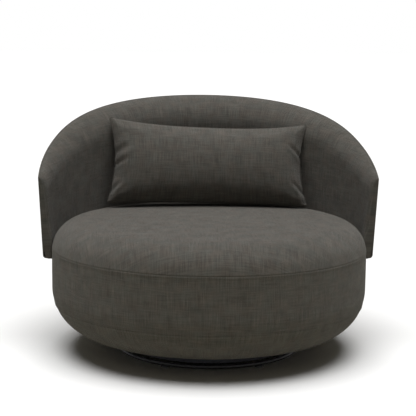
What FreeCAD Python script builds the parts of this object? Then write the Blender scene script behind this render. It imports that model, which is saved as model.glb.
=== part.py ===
import FreeCAD, Part
import math
import os
import re

import Sketcher
from FreeCAD import Placement, Rotation, Vector

# A round swivel cuddle chair: an upholstered drum seat that turns on a ring base,
# with a padded barrel shell bolted round the back half of the drum and a loose pillow.
# Millimetres, +Z up, the front of the chair faces -Y, the floor is z = 0.
# Every piece is drawn about the swivel axis and then placed so that the chair's
# bounding box is centred on the origin.

doc = FreeCAD.newDocument("CuddleChair")

DIMENSIONS = [
    # place of the swivel axis
    ("axis_y", -28),
    # ring base, a round bar on glides with a flat cross inside
    ("ring_radius", 291),
    ("ring_bar", 6),
    ("ring_height", 10),
    ("glide_radius", 14),
    ("glide_thickness", 5.5),
    ("cross_width", 50),
    ("cross_thickness", 6),
    ("hub_radius", 160),
    ("hub_thickness", 6),
    ("hub_bore", 40),
    # ball bearing
    ("race_inner", 98),
    ("race_outer", 150),
    ("race_thickness", 7.5),
    ("race_gap", 3),
    ("track_radius", 125),
    ("ball_radius", 4),
    ("groove_radius", 4.3),
    ("cage_width", 26),
    ("cage_thickness", 1.6),
    ("cage_hole", 4.3),
    ("lower_rivet_circle", 143),
    ("upper_rivet_circle", 106),
    ("rivet_shank", 2.5),
    ("rivet_head", 4.2),
    ("rivet_head_height", 1.2),
    ("lower_rivet_turn", 15),
    # swivel plate and plinth
    ("plate_radius", 195),
    ("plate_thickness", 5),
    ("plinth_inner", 250),
    ("plinth_outer", 268),
    ("plinth_bottom", 15),
    ("plinth_top", 60),
    ("bolt_circle", 172),
    ("bolt_shank", 4),
    ("bolt_head", 7),
    ("bolt_head_height", 5.3),
    ("bolt_clearance", 0.4),
    ("tee_barrel", 5),
    ("tee_flange", 11),
    ("tee_flange_thickness", 1.5),
    ("bolt_end", 2),
    # drum seat
    ("drum_radius", 510),
    ("nose_radius", 95),
    ("nose_height", 329),
    ("crown_radius", 7180),
    ("curve_radius", 151),
    ("curve_height", 209),
    ("cover_thickness", 2.5),
    ("side_foam", 15),
    ("upper_seam", 336),
    ("lower_seam", 161),
    ("panel_radius", 386),
    ("panel_thickness", 15),
    ("dust_thickness", 1),
    ("dust_radius", 368),
    ("flange_radius", 370),
    ("hoop_thickness", 5),
    ("rib_thickness", 18),
    ("rib_turn", 22.5),
    ("rib_gap", 0.8),
    ("rib_depth", 60),
    ("rib_foot", 371),
    ("top_ring_width", 58),
    ("top_ring_thickness", 15),
    ("frame_top", 324),
    ("strap_width", 50),
    ("strap_thickness", 2),
    ("strap_pitch", 130),
    ("strap_reach", 482),
    # barrel shell
    ("shell_radius", 538.3),
    ("shell_bottom", 292),
    ("shell_lean", 3),
    ("board_thickness", 9),
    ("board_rim_inset", 20),
    ("board_foot_inset", 8),
    ("arm_height", 559),
    ("rim_knee_back", 250),
    ("rim_knee_height", 686.5),
    ("rim_back", 600),
    ("rim_back_height", 807),
    ("rim_arc", 1400),
    ("arm_corner", 20),
    ("pad_front", 10),
    ("pad_back", 95),
    ("pad_swell", 0.85),
    ("pad_foot_inset", 3),
    ("foam_gap", 0.3),
    ("roll_front", 60),
    ("roll_back", 110),
    ("rail_top", 329),
    ("drum_clearance", 1.5),
    ("welt_width", 6),
    ("welt_stand", 2.5),
    ("blank_overrun", 60),
    ("shell_bolt_height", 315),
    ("shell_bolt_spread", 26),
    ("bolt_stop", 1),
    ("drill_overrun", 5),
    ("head_notch_depth", 12),
    ("spacer_radius", 12),
    ("washer_radius", 11),
    ("washer_thickness", 1.5),
    ("washer_gap", 0.3),
    # lumbar pillow, drawn flat and then leaned back on the seat
    ("pillow_width", 690),
    ("pillow_corner_height", 300),
    ("pillow_middle_height", 269),
    ("pillow_thickness", 142),
    ("pillow_edge_thickness", 18),
    ("pillow_side_draw", 13),
    ("pillow_bottom_share", 0.22),
    ("pillow_sag", 0.05),
    ("pillow_cover", 1.5),
    ("pillow_lean", 17),
    ("pillow_back", 240),
    ("pillow_bottom", 433.5),
]

GLIDES = 6
RIVETS = 6
BALLS = 20
PLATE_BOLTS = 6
RIBS = 8
SHELL_BOLTS = 7
STRAPS = 7

sheet = doc.addObject("Spreadsheet::Sheet", "Dimensions")
for row, (alias, number) in enumerate(DIMENSIONS, start=1):
    sheet.set(f"A{row}", alias)
    sheet.set(f"B{row}", str(number))
    sheet.setAlias(f"B{row}", alias)
doc.recompute()
ALIASES = {alias for alias, number in DIMENSIONS}

# Heights and radii that follow from the driving dimensions, as text for expressions
HUB_BOTTOM = "(ring_height + cross_thickness / 2)"
LOWER_RACE = f"({HUB_BOTTOM} + hub_thickness)"
GAP_BOTTOM = f"({LOWER_RACE} + race_thickness)"
TRACK_HEIGHT = f"({GAP_BOTTOM} + race_gap / 2)"
UPPER_RACE = f"({GAP_BOTTOM} + race_gap)"
PLATE_BOTTOM = f"({UPPER_RACE} + race_thickness)"
PLATE_TOP = f"({PLATE_BOTTOM} + plate_thickness)"
DUST_TOP = "(plinth_top + dust_thickness)"
PANEL_TOP = f"({DUST_TOP} + panel_thickness)"
HOOP_OUTER = "(drum_radius - cover_thickness - side_foam)"
HOOP_INNER = f"({HOOP_OUTER} - hoop_thickness)"
WEBBING_TOP = "(frame_top + 2 * strap_thickness)"
NOSE_CENTRE = "(drum_radius - nose_radius)"
CURVE_CENTRE = "(drum_radius - curve_radius)"
CROWN_RISE = f"(crown_radius - sqrt(crown_radius ^ 2 - {NOSE_CENTRE} ^ 2))"
CROWN_TOP = f"(nose_height + nose_radius + {CROWN_RISE})"


def bound(text):
    """Point each alias in an expression at the sheet."""
    return re.sub(r"[a-z_]+", lambda m: f"Dimensions.{m[0]}" if m[0] in ALIASES else m[0], str(text))


def value(text):
    """The number that an expression of the sheet's aliases gives now."""
    return float(sheet.evalExpression(bound(text)))


def origin_feature(body, role):
    """An origin plane or axis of a body, found by its role."""
    return next(feature for feature in body.Origin.OriginFeatures if feature.Role == role)


def new_body(label):
    """An empty body with a label."""
    body = doc.addObject("PartDesign::Body", label)
    body.Label = label
    return body


def new_sketch(body, plane, height=None):
    """A sketch on one of the body's own origin planes, raised by a height of the sheet."""
    sketch = body.newObject("Sketcher::SketchObject", f"{body.Name}_sketch")
    sketch.AttachmentSupport = (origin_feature(body, plane), "")
    sketch.MapMode = "FlatFace"
    if height is not None:
        sketch.setExpression(".AttachmentOffset.Base.z", bound(height))
    return sketch


def fix(sketch, kind, element, point, text):
    """Hold one coordinate of a sketch point to the sheet, or on the axis where it is zero."""
    if text == 0:
        axis = -2 if kind == "DistanceX" else -1
        sketch.addConstraint(Sketcher.Constraint("PointOnObject", element, point, axis))
        return
    index = sketch.addConstraint(Sketcher.Constraint(kind, element, point, value(text)))
    sketch.setExpression(f"Constraints[{index}]", bound(text))


def arc_middle(start, finish, radius, side):
    """The middle point of the short arc from start to finish that bulges to its left for side 1."""
    chord = finish - start
    left = Vector(-chord.y, chord.x, 0).normalize()
    rise = radius - math.sqrt(radius ** 2 - (chord.Length / 2) ** 2)
    return (start + finish) / 2 + left * side * rise


def outline(sketch, corners):
    """Draw a closed outline. A corner is (x, y), or (x, y, radius, side) where an arc leaves it."""
    places = [Vector(value(corner[0]), value(corner[1]), 0) for corner in corners]
    count = len(corners)
    ends = []
    for index, corner in enumerate(corners):
        start = places[index]
        finish = places[(index + 1) % count]
        if len(corner) == 2:
            element = sketch.addGeometry(Part.LineSegment(start, finish))
            ends.append((element, 1, 2))
            continue
        middle = arc_middle(start, finish, value(corner[2]), corner[3])
        if corner[3] < 0:
            element = sketch.addGeometry(Part.Arc(start, middle, finish))
            ends.append((element, 1, 2))
        else:
            element = sketch.addGeometry(Part.Arc(finish, middle, start))
            ends.append((element, 2, 1))
        radius = sketch.addConstraint(Sketcher.Constraint("Radius", element, value(corner[2])))
        sketch.setExpression(f"Constraints[{radius}]", bound(corner[2]))
    for index, corner in enumerate(corners):
        element, first, last = ends[index]
        following, following_first, unused_last = ends[(index + 1) % count]
        sketch.addConstraint(Sketcher.Constraint("Coincident", element, last, following, following_first))
        fix(sketch, "DistanceX", element, first, corner[0])
        fix(sketch, "DistanceY", element, first, corner[1])


def circle(sketch, x, y, radius):
    """Draw a circle whose place and radius follow the sheet."""
    centre = Vector(value(x), value(y), 0)
    element = sketch.addGeometry(Part.Circle(centre, Vector(0, 0, 1), value(radius)))
    index = sketch.addConstraint(Sketcher.Constraint("Radius", element, value(radius)))
    sketch.setExpression(f"Constraints[{index}]", bound(radius))
    fix(sketch, "DistanceX", element, 3, x)
    fix(sketch, "DistanceY", element, 3, y)


def revolve(body, sketch, kind="PartDesign::Revolution"):
    """Turn a sketch round the body's vertical axis."""
    feature = body.newObject(kind, f"{body.Name}_turn")
    feature.Profile = sketch
    feature.ReferenceAxis = (origin_feature(body, "Z_Axis"), [""])
    feature.Angle = 360
    return feature


def extrude(body, sketch, length, side="One side", reverse=False):
    """Pad a sketch by a length of the sheet."""
    feature = body.newObject("PartDesign::Pad", f"{body.Name}_pad")
    feature.Profile = sketch
    feature.SideType = side
    feature.Reversed = reverse
    feature.setExpression("Length", bound(length))
    return feature


def bore(body, sketch):
    """Cut a sketch right through the body, both ways."""
    doc.recompute()
    before = body.Shape.Volume
    feature = body.newObject("PartDesign::Pocket", f"{body.Name}_bore")
    feature.Profile = sketch
    feature.Type = "ThroughAll"
    feature.SideType = "Symmetric"
    doc.recompute()
    if body.Shape.Volume > before - 1:
        raise ValueError(f"{body.Label}: the bore cut nothing")
    return feature


def around(body, features, count):
    """Repeat features evenly round the body's vertical axis."""
    pattern = body.newObject("PartDesign::PolarPattern", f"{body.Name}_around")
    pattern.Originals = features
    pattern.Axis = (origin_feature(body, "Z_Axis"), [""])
    pattern.Angle = 360
    pattern.Occurrences = count
    body.Tip = pattern
    return pattern


def turned(label, corners):
    """A body made by turning one outline round the swivel axis."""
    body = new_body(label)
    sketch = new_sketch(body, "XZ_Plane")
    outline(sketch, corners)
    revolve(body, sketch)
    return body


def cut(label, base, tool):
    """A piece with another shape, such as a set of pins, cut out of it."""
    base.Label = f"{label}_blank"
    result = doc.addObject("Part::Cut", f"{label}_result")
    result.Base = base
    result.Tool = tool
    result.Label = label
    return result


def disc(label, bottom, top, outer, inner=None):
    """A flat disc or ring about the swivel axis."""
    body = new_body(label)
    sketch = new_sketch(body, "XY_Plane", bottom)
    circle(sketch, 0, 0, outer)
    if inner is not None:
        circle(sketch, 0, 0, inner)
    extrude(body, sketch, f"{top} - {bottom}")
    return body


def bore_circle(body, distance, radius, count):
    """Bore a circle of evenly spaced holes through a flat body."""
    sketch = new_sketch(body, "XY_Plane")
    circle(sketch, distance, 0, radius)
    around(body, [bore(body, sketch)], count)


def stacked_pins(label, distance, count, stages):
    """A ring of round pins, each a stack of (bottom, top, radius) stages."""
    body = new_body(label)
    features = []
    for bottom, top, radius in stages:
        sketch = new_sketch(body, "XY_Plane", bottom)
        circle(sketch, distance, 0, radius)
        features.append(extrude(body, sketch, f"{top} - {bottom}"))
    around(body, features, count)
    return body


# Base that stands on the floor

def base_ring():
    body = new_body("base_ring")
    sketch = new_sketch(body, "XZ_Plane")
    circle(sketch, "ring_radius", "ring_height", "ring_bar")
    revolve(body, sketch)
    return body


def base_cross():
    """Two flat bars in one piece, their round ends butted against the inside of the ring."""
    body = new_body("base_cross")
    sketch = new_sketch(body, "XY_Plane", "ring_height - cross_thickness / 2")
    reach = "(ring_radius - ring_bar)"
    end_x = f"sqrt({reach} ^ 2 - (cross_width / 2) ^ 2)"
    outline(sketch, [
        (end_x, "-cross_width / 2", reach, -1),
        (end_x, "cross_width / 2"),
        (f"-{end_x}", "cross_width / 2", reach, -1),
        (f"-{end_x}", "-cross_width / 2"),
    ])
    bar = extrude(body, sketch, "cross_thickness")
    crossing = around(body, [bar], 2)
    crossing.Angle = 90
    crossing.Occurrences = 2
    return body


def glides():
    """Round plastic pads under the ring, dished on top to its bar."""
    body = new_body("glides")
    sketch = new_sketch(body, "XY_Plane")
    circle(sketch, "ring_radius", 0, "glide_radius")
    pad = extrude(body, sketch, "glide_thickness")
    around(body, [pad], GLIDES)
    hollow = body.newObject("Sketcher::SketchObject", "glide_hollow")
    hollow.AttachmentSupport = (origin_feature(body, "XZ_Plane"), "")
    hollow.MapMode = "FlatFace"
    circle(hollow, "ring_radius", "ring_height", "ring_bar")
    body.Tip = revolve(body, hollow, "PartDesign::Groove")
    return body


def hub_plate():
    body = disc("hub_plate", HUB_BOTTOM, LOWER_RACE, "hub_radius", "hub_bore")
    bore_circle(body, "lower_rivet_circle", "rivet_shank", RIVETS)
    return body


# Ball bearing between the base and the seat

def race(label, bottom, top, groove_side, rivet_circle):
    """A flat steel ring with a round groove for the balls in one face."""
    body = disc(label, bottom, top, "race_outer", "race_inner")
    half_gap = "(race_gap / 2)"
    half_width = f"sqrt(groove_radius ^ 2 - {half_gap} ^ 2)"
    edge = top if groove_side < 0 else bottom
    groove = new_sketch(body, "XZ_Plane")
    outline(groove, [
        (f"track_radius - {half_width}", edge, "groove_radius", groove_side),
        (f"track_radius + {half_width}", edge),
    ])
    revolve(body, groove, "PartDesign::Groove")
    bore_circle(body, rivet_circle, "rivet_shank", RIVETS)
    return body


def bearing_cage():
    inner = "track_radius - cage_width / 2"
    outer = "track_radius + cage_width / 2"
    bottom = f"({TRACK_HEIGHT} - cage_thickness / 2)"
    body = disc("bearing_cage", bottom, f"({bottom} + cage_thickness)", outer, inner)
    bore_circle(body, "track_radius", "cage_hole", BALLS)
    return body


def bearing_balls():
    """Steel balls in the cage's holes."""
    balls = []
    for index in range(BALLS):
        turn = 2 * math.pi * index / BALLS
        ball = doc.addObject("Part::Sphere", "ball")
        ball.setExpression("Radius", bound("ball_radius"))
        ball.setExpression(".Placement.Base.x", bound(f"track_radius * {math.cos(turn):.9f}"))
        ball.setExpression(".Placement.Base.y", bound(f"track_radius * {math.sin(turn):.9f}"))
        ball.setExpression(".Placement.Base.z", bound(TRACK_HEIGHT))
        balls.append(ball)
    bundle = doc.addObject("Part::Compound", "bearing_balls")
    bundle.Label = "bearing_balls"
    bundle.Links = balls
    return bundle


def lower_rivets():
    return stacked_pins("lower_rivets", "lower_rivet_circle", RIVETS, [
        (f"({HUB_BOTTOM} - rivet_head_height)", HUB_BOTTOM, "rivet_head"),
        (HUB_BOTTOM, GAP_BOTTOM, "rivet_shank"),
        (GAP_BOTTOM, f"({GAP_BOTTOM} + rivet_head_height)", "rivet_head"),
    ])


def upper_rivets():
    return stacked_pins("upper_rivets", "upper_rivet_circle", RIVETS, [
        (f"({UPPER_RACE} - rivet_head_height)", UPPER_RACE, "rivet_head"),
        (UPPER_RACE, PLATE_TOP, "rivet_shank"),
    ])


# Swivel plate and plinth under the drum

def swivel_plate():
    body = disc("swivel_plate", PLATE_BOTTOM, PLATE_TOP, "plate_radius", "hub_bore")
    bore_circle(body, "upper_rivet_circle", "rivet_shank", RIVETS)
    bore_circle(body, "bolt_circle", "bolt_shank + bolt_clearance", PLATE_BOLTS)
    return body


def plinth_disc():
    body = disc("plinth_disc", PLATE_TOP, "plinth_top", "plinth_inner")
    bore_circle(body, "bolt_circle", "bolt_shank + bolt_clearance", PLATE_BOLTS)
    return body


def plinth_ring():
    return disc("plinth_ring", "plinth_bottom", "plinth_top", "plinth_outer", "plinth_inner")


def dust_cover():
    body = disc("dust_cover", "plinth_top", DUST_TOP, "dust_radius")
    bore_circle(body, "bolt_circle", "bolt_shank + bolt_clearance", PLATE_BOLTS)
    return body


def base_panel():
    body = disc("base_panel", DUST_TOP, PANEL_TOP, "panel_radius")
    bore_circle(body, "bolt_circle", "tee_barrel", PLATE_BOLTS)
    return body


def plate_bolts():
    return stacked_pins("plate_bolts", "bolt_circle", PLATE_BOLTS, [
        (f"({PLATE_BOTTOM} - bolt_head_height)", PLATE_BOTTOM, "bolt_head"),
        (PLATE_BOTTOM, f"({PANEL_TOP} + tee_flange_thickness + bolt_end)", "bolt_shank"),
    ])


def tee_nuts():
    body = stacked_pins("tee_nuts", "bolt_circle", PLATE_BOLTS, [
        (DUST_TOP, PANEL_TOP, "tee_barrel"),
        (PANEL_TOP, f"({PANEL_TOP} + tee_flange_thickness)", "tee_flange"),
    ])
    bore_circle(body, "bolt_circle", "bolt_shank", PLATE_BOLTS)
    return body


# Drum frame

def lower_curve_height(radius, inset):
    """Height of the drum's lower curve, set in by an inset, at a radius from the axis."""
    return f"(curve_height - sqrt((curve_radius - {inset}) ^ 2 - ({radius} - {CURVE_CENTRE}) ^ 2))"


def lower_curve_radius(height, inset):
    """Radius of the drum's lower curve, set in by an inset, at a height."""
    return f"({CURVE_CENTRE} + sqrt((curve_radius - {inset}) ^ 2 - (curve_height - {height}) ^ 2))"


FOAM_INSET = "(cover_thickness + side_foam)"
FRAME_INSET = f"({FOAM_INSET} + hoop_thickness)"


def frame_ribs():
    """Upright plywood ribs whose outer edges give the drum its curve."""
    body = new_body("frame_ribs")
    sketch = new_sketch(body, "XZ_Plane")
    ring_bottom = "frame_top - top_ring_thickness"
    edge_inset = f"({FRAME_INSET} + rib_gap)"
    outline(sketch, [
        ("rib_foot", PANEL_TOP),
        ("rib_foot", lower_curve_height("rib_foot", edge_inset), f"curve_radius - {edge_inset}", -1),
        (f"{HOOP_INNER} - rib_gap", "curve_height"),
        (f"{HOOP_INNER} - rib_gap", ring_bottom),
        (f"{HOOP_INNER} - rib_depth", ring_bottom),
        (f"{HOOP_INNER} - rib_depth", "curve_height"),
        ("rib_foot - rib_depth", PANEL_TOP),
    ])
    rib = extrude(body, sketch, "rib_thickness", "Symmetric")
    around(body, [rib], RIBS)
    return body


def top_ring():
    bottom = "(frame_top - top_ring_thickness)"
    return disc("top_ring", bottom, "frame_top", HOOP_INNER, f"{HOOP_INNER} - top_ring_width")


def drum_hoop():
    return disc("drum_hoop", "curve_height", "frame_top", HOOP_OUTER, HOOP_INNER)


def lower_liner():
    """Thin bent panel that carries the foam round the drum's lower curve."""
    return turned("lower_liner", [
        ("rib_foot", lower_curve_height("rib_foot", FOAM_INSET), f"curve_radius - {FOAM_INSET}", -1),
        (HOOP_OUTER, "curve_height"),
        (HOOP_INNER, "curve_height", f"curve_radius - {FRAME_INSET}", 1),
        ("rib_foot", lower_curve_height("rib_foot", FRAME_INSET)),
    ])


def webbing(label, bottom, across):
    """Parallel straps pulled across the drum, cut to its round."""
    straps = []
    for index in range(STRAPS):
        strap = doc.addObject("Part::Box", f"{label}_strap")
        shift = index - (STRAPS - 1) / 2
        length, width = ("Length", "Width") if across else ("Width", "Length")
        along, side = ("x", "y") if across else ("y", "x")
        strap.setExpression(length, bound("2 * strap_reach"))
        strap.setExpression(width, bound("strap_width"))
        strap.setExpression("Height", bound("strap_thickness"))
        strap.setExpression(f".Placement.Base.{along}", bound("-strap_reach"))
        strap.setExpression(f".Placement.Base.{side}", bound(f"{shift} * strap_pitch - strap_width / 2"))
        strap.setExpression(".Placement.Base.z", bound(bottom))
        straps.append(strap)
    bundle = doc.addObject("Part::Compound", f"{label}_straps")
    bundle.Links = straps
    limit = doc.addObject("Part::Cylinder", f"{label}_limit")
    limit.setExpression("Radius", bound("strap_reach"))
    limit.setExpression("Height", bound("2 * frame_top"))
    trimmed = doc.addObject("Part::Common", label)
    trimmed.Base = bundle
    trimmed.Tool = limit
    trimmed.Label = label
    return trimmed


# Drum upholstery

def nose_width(height, inset):
    """Radius of the seat's front roll, set in by an inset, at a height."""
    return f"({NOSE_CENTRE} + sqrt((nose_radius - {inset}) ^ 2 - ({height} - nose_height) ^ 2))"


def crown(inset):
    """Height of the top of the seat at the axis, set in by an inset."""
    return f"({CROWN_TOP} - {inset})"


def shoulder(inset):
    """Height at which the crown meets the roll, set in by an inset."""
    return f"(nose_height + nose_radius - {inset})"


def seat_foam():
    inset = "cover_thickness"
    return turned("seat_foam", [
        (0, WEBBING_TOP),
        (f"drum_radius - {inset}", WEBBING_TOP),
        (f"drum_radius - {inset}", "nose_height", f"nose_radius - {inset}", -1),
        (NOSE_CENTRE, shoulder(inset), "crown_radius", -1),
        (0, crown(inset)),
    ])


def side_foam():
    """Ring of foam round the drum's side, from the base panel up to the seat foam."""
    inset = "cover_thickness"
    return turned("side_foam", [
        ("panel_radius", lower_curve_height("panel_radius", inset), f"curve_radius - {inset}", -1),
        (f"drum_radius - {inset}", "curve_height"),
        (f"drum_radius - {inset}", WEBBING_TOP),
        (HOOP_OUTER, WEBBING_TOP),
        (HOOP_OUTER, "curve_height", f"curve_radius - {FOAM_INSET}", 1),
        ("panel_radius", lower_curve_height("panel_radius", FOAM_INSET)),
    ])


def quarters(label, ring):
    """Four quarter lengths of a ring, named for their sides, with a small gap between their ends."""
    start = value("foam_gap / 2")
    lengths = []
    for side, turn in (("right", -45), ("back", 45), ("left", 135), ("front", 225)):
        heading = Rotation(Vector(0, 0, 1), turn)
        keep = doc.addObject("Part::Box", f"{label}_{side}_keep")
        for size in ("Length", "Width", "Height"):
            keep.setExpression(size, bound("2 * drum_radius"))
        keep.Placement = Placement(heading.multVec(Vector(start, start, 0)), heading)
        length = doc.addObject("Part::Common", f"{label}_{side}")
        length.Base = ring
        length.Tool = keep
        length.Label = f"{label}_{side}"
        lengths.append(length)
    return lengths


def dome(label, inset):
    """The top of the seat above its seam, set in by an inset."""
    return turned(label, [
        (0, "upper_seam"),
        (nose_width("upper_seam", inset), "upper_seam", f"nose_radius - {inset}", -1),
        (NOSE_CENTRE, shoulder(inset), "crown_radius", -1),
        (0, crown(inset)),
    ])


def seat_top_cover():
    return cut("seat_top_cover", dome("dome_outside", "0"), dome("dome_inside", "cover_thickness"))


def seat_band_cover():
    inset = "cover_thickness"
    return turned("seat_band_cover", [
        (lower_curve_radius("lower_seam", 0), "lower_seam", "curve_radius", -1),
        ("drum_radius", "curve_height"),
        ("drum_radius", "nose_height", "nose_radius", -1),
        (nose_width("upper_seam", 0), "upper_seam"),
        (nose_width("upper_seam", inset), "upper_seam", f"nose_radius - {inset}", 1),
        (f"drum_radius - {inset}", "nose_height"),
        (f"drum_radius - {inset}", "curve_height", f"curve_radius - {inset}", 1),
        (lower_curve_radius("lower_seam", inset), "lower_seam"),
    ])


def seat_lower_cover():
    """Lower fabric band, turned under the base panel."""
    inset = "cover_thickness"
    return turned("seat_lower_cover", [
        ("flange_radius", lower_curve_height("panel_radius", 0)),
        ("panel_radius", lower_curve_height("panel_radius", 0), "curve_radius", -1),
        (lower_curve_radius("lower_seam", 0), "lower_seam"),
        (lower_curve_radius("lower_seam", inset), "lower_seam", f"curve_radius - {inset}", 1),
        ("panel_radius", lower_curve_height("panel_radius", inset)),
        ("panel_radius", DUST_TOP),
        ("flange_radius", DUST_TOP),
    ])


# Barrel shell

def cone_radius(height, inset):
    """Radius of the shell's outside face at a height, less an inset."""
    return f"(shell_radius + ({height} - shell_bottom) * tan(shell_lean * 1 deg) - {inset})"


def rim_outline(sketch, inset, front, foot):
    """Side view of the shell: arm front, rim rising in a line and an arc to the back, level bottom."""
    slope = "((rim_knee_height - arm_height) / rim_knee_back)"
    fall = f"({inset} * sqrt(1 + {slope} ^ 2))"
    reach = "(2 * drum_radius)"
    outline(sketch, [
        (f"{front} + arm_corner", f"shell_bottom + {foot}"),
        (reach, f"shell_bottom + {foot}"),
        (reach, f"rim_back_height - {inset}"),
        ("rim_back", f"rim_back_height - {inset}", "rim_arc", -1),
        ("rim_knee_back", f"rim_knee_height - {fall}"),
        (front, f"arm_height + {slope} * ({front}) - {fall}"),
        (front, f"shell_bottom + {foot} + arm_corner", "arm_corner", -1),
    ])


def cone_blank(label, inner_inset, outer_inset):
    """A conical wall of even thickness, still to be trimmed to the side view of the shell."""
    body = new_body(label)
    low = "(shell_bottom - blank_overrun)"
    high = "(rim_back_height + blank_overrun)"
    profile = new_sketch(body, "XZ_Plane")
    outline(profile, [
        (cone_radius(low, inner_inset), low),
        (cone_radius(low, outer_inset), low),
        (cone_radius(high, outer_inset), high),
        (cone_radius(high, inner_inset), high),
    ])
    revolve(body, profile)
    return body


def trim_outside(body, inset, front, foot):
    """Cut away all of a blank that lies outside a side view of the shell."""
    window = new_sketch(body, "YZ_Plane")
    rim_outline(window, inset, front, foot)
    around_all = "(3 * drum_radius)"
    outline(window, [
        (f"-{around_all}", f"-{around_all}"),
        (around_all, f"-{around_all}"),
        (around_all, around_all),
        (f"-{around_all}", around_all),
    ])
    bore(body, window)


def shell_wall(label, inner_inset, outer_inset, rim_inset, front, foot_inset):
    """A conical wall of even thickness, trimmed to the side view of the shell."""
    body = cone_blank(label, inner_inset, outer_inset)
    trim_outside(body, rim_inset, front, foot_inset)
    return body


BOARD_OUTER = "cover_thickness"
BOARD_INNER = "(cover_thickness + board_thickness)"


def shell_board():
    return shell_wall("shell_board", BOARD_INNER, BOARD_OUTER, "board_rim_inset", "cover_thickness",
                      "board_foot_inset")


def outer_cover():
    return shell_wall("outer_cover", "cover_thickness", "0", "0", "0", "0")


def number(name):
    """A driving dimension as a plain number."""
    return float(sheet.get(name))


def cone_at(height, inset):
    """The shell's outside radius at a height as a number, less an inset."""
    lean = math.tan(math.radians(number("shell_lean")))
    return number("shell_radius") + (height - number("shell_bottom")) * lean - inset


def rim_height_at(back):
    """Height of the rim at a distance behind the axis, along its line and arc."""
    knee = number("rim_knee_back")
    knee_height = number("rim_knee_height")
    if back <= knee:
        slope = (knee_height - number("arm_height")) / knee
        return number("arm_height") + slope * back
    start = Vector(knee, knee_height, 0)
    finish = Vector(number("rim_back"), number("rim_back_height"), 0)
    radius = number("rim_arc")
    chord = finish - start
    left = Vector(-chord.y, chord.x, 0).normalize()
    centre = (start + finish) / 2 - left * math.sqrt(radius ** 2 - (chord.Length / 2) ** 2)
    return centre.y + math.sqrt(radius ** 2 - (back - centre.x) ** 2)


def rim_at(turn):
    """Rim height at an angle from the arm's front end, 90 degrees being the back."""
    height = number("arm_height")
    for unused_round in range(30):
        back = cone_at(height, 0) * math.sin(turn)
        height = rim_height_at(back)
    return height


def pad_section(turn, skin):
    """Corners of the pad's section at an angle from the arm's front end, set in by a skin."""
    swell = abs(math.sin(turn)) ** number("pad_swell")
    rim = rim_at(turn)
    depth = number("pad_front") + (number("pad_back") - number("pad_front")) * swell
    roll = number("roll_front") + (number("roll_back") - number("roll_front")) * swell
    wall = number("cover_thickness") + number("board_thickness")
    slope = math.tan(math.radians(number("shell_lean")))
    roll_foot = rim - roll
    inner_top = cone_at(roll_foot, wall + depth - skin)
    nose = number("nose_radius") + number("drum_clearance")
    nose_centre = number("drum_radius") - number("nose_radius")
    nose_height = number("nose_height")
    foot_height = nose_height
    for unused_round in range(20):
        straight_foot = inner_top - (roll_foot - foot_height) * slope
        inner_foot = min(straight_foot, number("drum_radius") - number("pad_foot_inset") + skin)
        foot_height = nose_height + math.sqrt(nose ** 2 - (inner_foot - nose_centre) ** 2)
    return {
        "rim": rim,
        "roll_foot": roll_foot,
        "inner_top": inner_top,
        "inner_foot": inner_foot,
        "foot_height": foot_height,
        "nose": nose,
    }


def section_point(turn, radius, height):
    """A point in the upright plane at an angle from the arm's front end on the +X side."""
    return Vector(radius * math.cos(turn), radius * math.sin(turn), height)


def roll_arc(turn, outer, section, skin):
    """Quarter ellipse from the rim's outer edge over and down to the pad's inner face."""
    top = section["rim"] - skin
    centre = section_point(turn, outer, section["roll_foot"])
    across = section_point(turn, section["inner_top"], section["roll_foot"]) - centre
    upward = Vector(0, 0, top - section["roll_foot"])
    long_axis, short_axis = (across, upward)
    if upward.Length > across.Length:
        long_axis, short_axis = (upward, across)
    ellipse = Part.Ellipse(centre + long_axis, centre + short_axis, centre)
    first = ellipse.parameter(centre + upward)
    last = ellipse.parameter(centre + across)
    if (last - first) % (2 * math.pi) < math.pi:
        return Part.ArcOfEllipse(ellipse, first, last).toShape()
    edge = Part.ArcOfEllipse(ellipse, last, first).toShape()
    return edge


def nose_arc(turn, section):
    """Arc where the pad sits over the seat's front roll, from the inner face down to the rail."""
    nose_centre = number("drum_radius") - number("nose_radius")
    nose_height = number("nose_height")
    start_angle = math.acos((section["inner_foot"] - nose_centre) / section["nose"])
    middle_angle = start_angle / 2
    points = []
    for angle in (start_angle, middle_angle, 0):
        radius = nose_centre + section["nose"] * math.cos(angle)
        points.append(section_point(turn, radius, nose_height + section["nose"] * math.sin(angle)))
    return Part.Arc(*points).toShape()


def line(start, finish):
    return Part.LineSegment(start, finish).toShape()


def foam_wire(turn):
    """Section of the shell foam: up the board, over its top, round the roll and down to the seat."""
    skin = number("cover_thickness")
    gap = number("foam_gap")
    section = pad_section(turn, skin)
    wall = skin + number("board_thickness") + gap
    rail_top = number("rail_top")
    step = section["rim"] - number("board_rim_inset")
    outer = cone_at(section["rim"], skin + gap)
    foot = section_point(turn, cone_at(rail_top, wall), rail_top)
    inside_step = section_point(turn, cone_at(step, wall), step)
    outside_step = section_point(turn, cone_at(step, skin + gap), step)
    rim = section_point(turn, outer, section["rim"] - skin)
    roll_foot = section_point(turn, section["inner_top"], section["roll_foot"])
    inner_foot = section_point(turn, section["inner_foot"], section["foot_height"])
    nose = nose_arc(turn, section)
    nose_foot = section_point(turn, number("drum_radius") - number("nose_radius") + section["nose"],
                              number("nose_height"))
    return Part.Wire(Part.__sortEdges__([
        line(foot, inside_step),
        line(inside_step, outside_step),
        line(outside_step, rim),
        roll_arc(turn, outer, section, skin),
        line(roll_foot, inner_foot),
        nose,
        line(nose_foot, foot),
    ]))


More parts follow.
